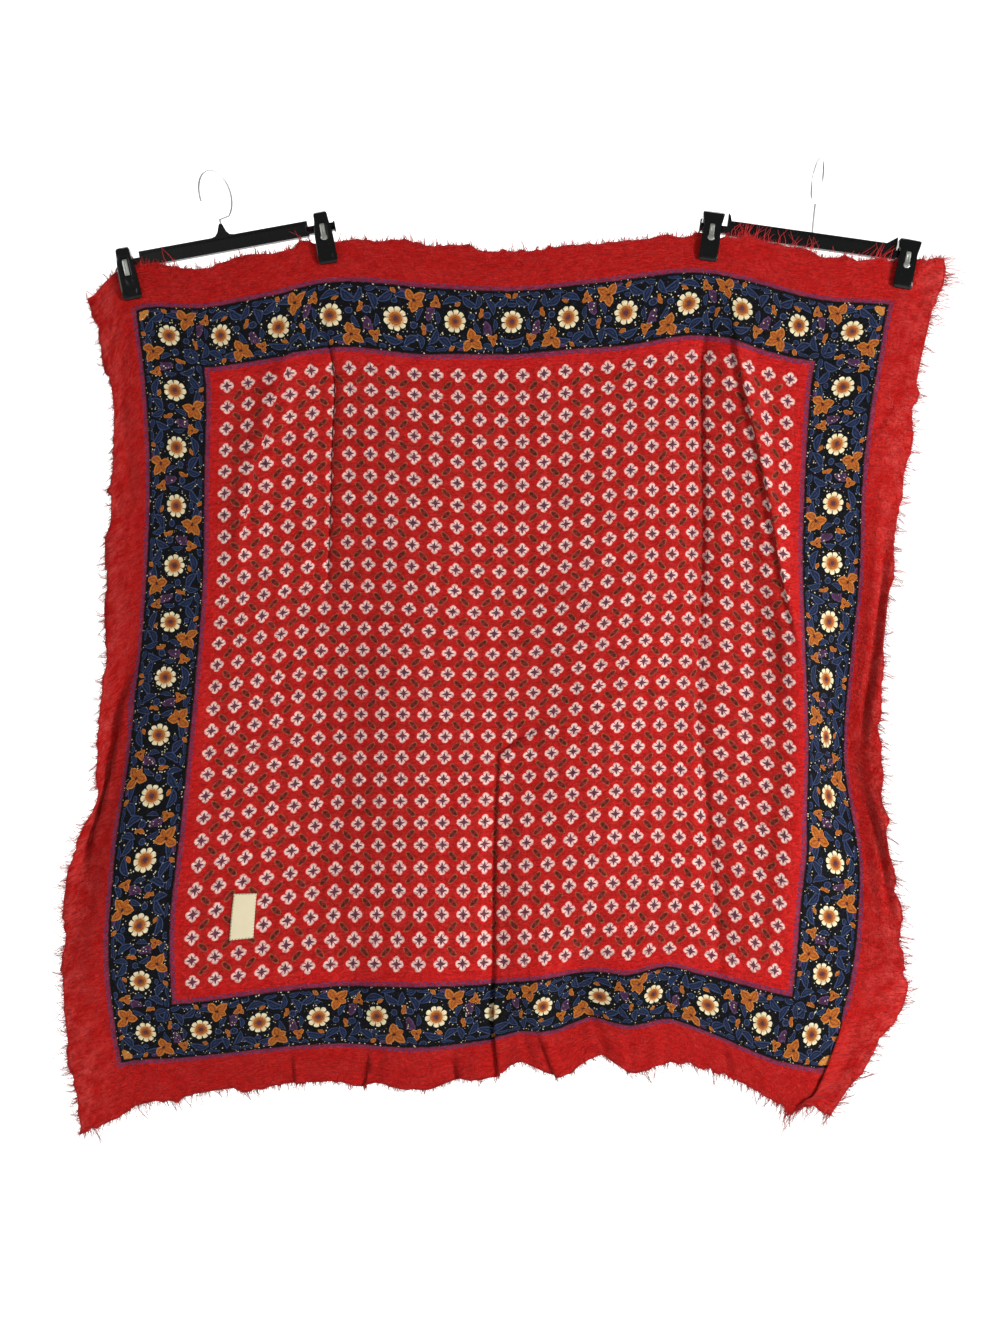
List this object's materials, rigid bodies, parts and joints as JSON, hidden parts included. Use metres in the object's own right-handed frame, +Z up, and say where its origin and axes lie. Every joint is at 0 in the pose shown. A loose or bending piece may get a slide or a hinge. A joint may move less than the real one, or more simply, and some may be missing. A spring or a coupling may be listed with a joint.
{
  "type": "wool square scarf on skirt hangers",
  "caption": "Square wool gauze scarf with a floral border, a small flower repeat and eyelash fringe, hung flat by its top edge in the clips of black skirt hangers.",
  "frame": {"origin": "the inner crown of the left hanger's hook, where a level rail along X carries it; the right hanger's hook meets the same rail at the same height", "axes": "+X along the rail to the right as seen from the front, +Z up, and the front of the scarf, with its label, faces -Y"},
  "size_m": [1.0732, 0.0617, 1.1323],
  "materials": {
    "wool_gauze": "soft open plain weave, printed",
    "fringe_wool": "loose wool threads",
    "cream_tape": "woven satin tape",
    "black_plastic": "glossy moulded",
    "hook_wire": "bright plated wire",
    "spring_steel": "bright strip"
  },
  "bodies": {
    "root": {"cloth": "wool_gauze", "fringe_top": "fringe_wool", "fringe_bottom": "fringe_wool", "fringe_left": "fringe_wool", "fringe_right": "fringe_wool", "label": "cream_tape", "left_bar": "black_plastic", "right_bar": "black_plastic", "left_hook": "hook_wire", "right_hook": "hook_wire", "left_outer_front_jaw": "black_plastic", "left_outer_back_jaw": "black_plastic", "left_outer_spring": "spring_steel", "left_inner_front_jaw": "black_plastic", "left_inner_back_jaw": "black_plastic", "left_inner_spring": "spring_steel", "right_inner_front_jaw": "black_plastic", "right_inner_back_jaw": "black_plastic", "right_inner_spring": "spring_steel", "right_outer_front_jaw": "black_plastic", "right_outer_back_jaw": "black_plastic", "right_outer_spring": "spring_steel"}
  },
  "joints": []
}
